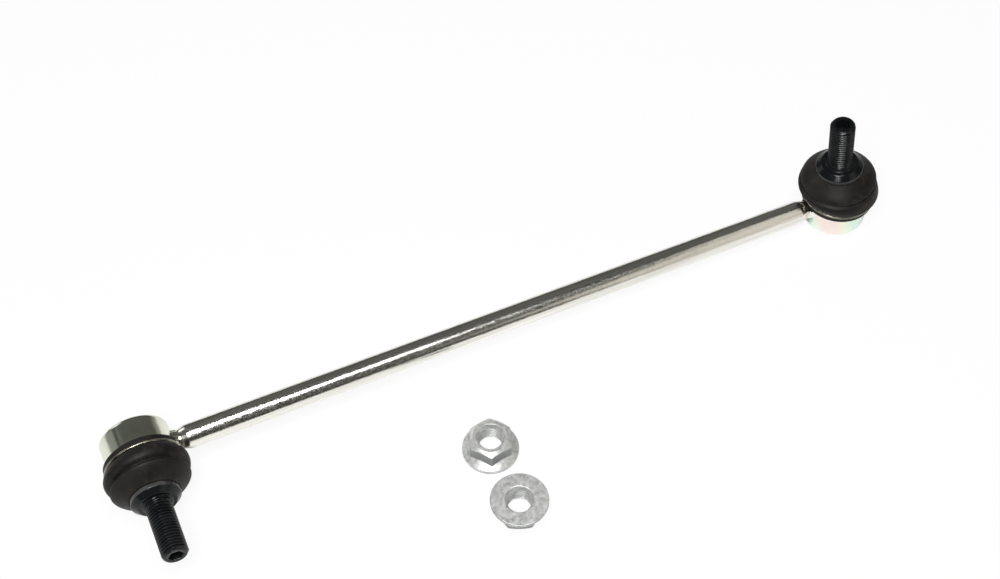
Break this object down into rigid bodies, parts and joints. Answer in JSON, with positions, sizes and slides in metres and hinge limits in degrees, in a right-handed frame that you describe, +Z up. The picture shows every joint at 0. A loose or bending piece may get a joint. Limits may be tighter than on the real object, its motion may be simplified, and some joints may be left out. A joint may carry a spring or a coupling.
{
  "type": "stabilizer link",
  "caption": "Stabilizer link: slim zinc-plated rod between sealed ball joints whose threaded studs stand at right angles to each other, with its loose flange nuts.",
  "frame": {"origin": "bottom centre of the whole bounding box, on the table that the link and its nuts lie on", "axes": "+X along the rod in plan, from the end with the level stud to the end with the upright stud; +Z up"},
  "size_m": [0.3327, 0.1002, 0.0547],
  "materials": {
    "rod_zinc": "bright zinc-plated drawn bar",
    "housing_zinc": "bright zinc plating on a turned surface",
    "cover_zinc": "satin zinc-plated sheet",
    "seat_plastic": "moulded acetal",
    "black_steel": "black phosphate coat, semi-matt",
    "boot_rubber": "moulded rubber, slightly dusty",
    "spring_steel": "drawn spring wire",
    "support_steel": "plain turned steel",
    "nut_zinc": "matt zinc-flake coat"
  },
  "bodies": {
    "link": {"rod": "rod_zinc", "housing_a": "housing_zinc", "housing_b": "housing_zinc", "weld_bead_a": "housing_zinc", "weld_bead_b": "housing_zinc", "cover_plate_a": "cover_zinc", "cover_plate_b": "cover_zinc", "ball_seat_a": "seat_plastic", "ball_seat_b": "seat_plastic"},
    "boot_a": {"boot_a": "boot_rubber", "boot_ring_a": "spring_steel"},
    "neck_a": {"support_ring_a": "support_steel"},
    "stud_a": {"ball_stud_a": "black_steel"},
    "boot_b": {"boot_b": "boot_rubber", "boot_ring_b": "spring_steel"},
    "neck_b": {"support_ring_b": "support_steel"},
    "stud_b": {"ball_stud_b": "black_steel"},
    "nut_a": {"flange_nut_a": "nut_zinc"},
    "nut_b": {"flange_nut_b": "nut_zinc"}
  },
  "joints": [
    {"name": "lean_turn_a", "type": "hinge", "parent": "link", "child": "boot_a", "pos_m": [0.15001, 0.03347, 0.0109], "axis": [0.0257, 0, 0.9997], "continuous": true},
    {"name": "stud_lean_a", "type": "hinge", "parent": "boot_a", "child": "neck_a", "pos_m": [0.15001, 0.03347, 0.0109], "axis": [-0.4693, -0.8829, 0.012], "range_deg": [-32.3, 17.7], "deforming": ["boot_a"]},
    {"name": "stud_spin_a", "type": "hinge", "parent": "neck_a", "child": "stud_a", "pos_m": [0.15001, 0.03347, 0.0109], "axis": [-0.0867, 0.0597, 0.9944], "continuous": true},
    {"name": "lean_turn_b", "type": "hinge", "parent": "link", "child": "boot_b", "pos_m": [-0.14995, 0.03127, 0.0164], "axis": [0, -1, 0], "continuous": true},
    {"name": "stud_lean_b", "type": "hinge", "parent": "boot_b", "child": "neck_b", "pos_m": [-0.14995, 0.03127, 0.0164], "axis": [-0.6752, 0, -0.7376], "range_deg": [-27.1, 22.9], "deforming": ["boot_b"]},
    {"name": "stud_spin_b", "type": "hinge", "parent": "neck_b", "child": "stud_b", "pos_m": [-0.14995, 0.03127, 0.0164], "axis": [-0.027, -0.9993, 0.0247], "continuous": true},
    {"name": "nut_lift_a", "type": "slide", "parent": "link", "child": "nut_a", "axis": [0, 0, 1], "range_m": [0, 0.06]},
    {"name": "nut_lift_b", "type": "slide", "parent": "link", "child": "nut_b", "axis": [0, 0, 1], "range_m": [0, 0.06]}
  ]
}
